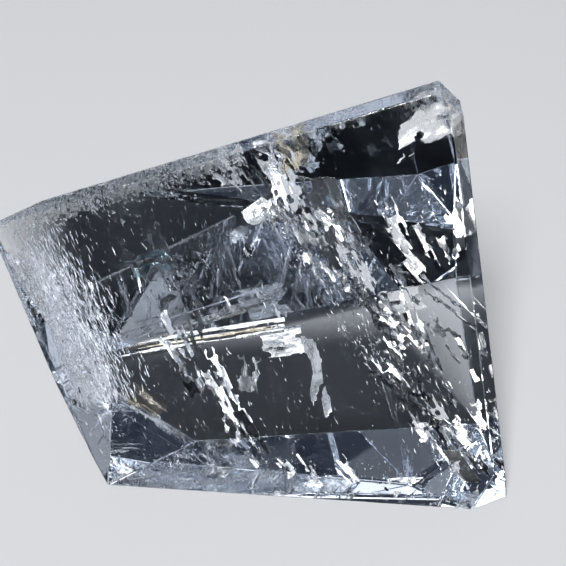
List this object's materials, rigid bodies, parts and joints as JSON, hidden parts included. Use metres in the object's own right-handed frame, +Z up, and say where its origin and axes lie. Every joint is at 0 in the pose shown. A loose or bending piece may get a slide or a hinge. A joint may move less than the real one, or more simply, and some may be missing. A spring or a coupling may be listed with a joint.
{
  "type": "faceted quartz crystal",
  "caption": "Clear rock crystal ground and polished into a leaning free-form block with flat facets and inner fractures, standing on a flat base as a display piece.",
  "frame": {"origin": "on the surface the crystal stands on, under the middle of its bounding box", "axes": "+X along the bottom front edge towards the tall right side, +Y from the large front face towards the back, +Z up"},
  "size_m": [0.0712, 0.0382, 0.0577],
  "materials": {
    "clear_quartz": "clear, colourless and polished, with internal fractures and veils and a frosted left corner and top edge"
  },
  "bodies": {
    "root": {"quartz_crystal": "clear_quartz"}
  },
  "joints": []
}
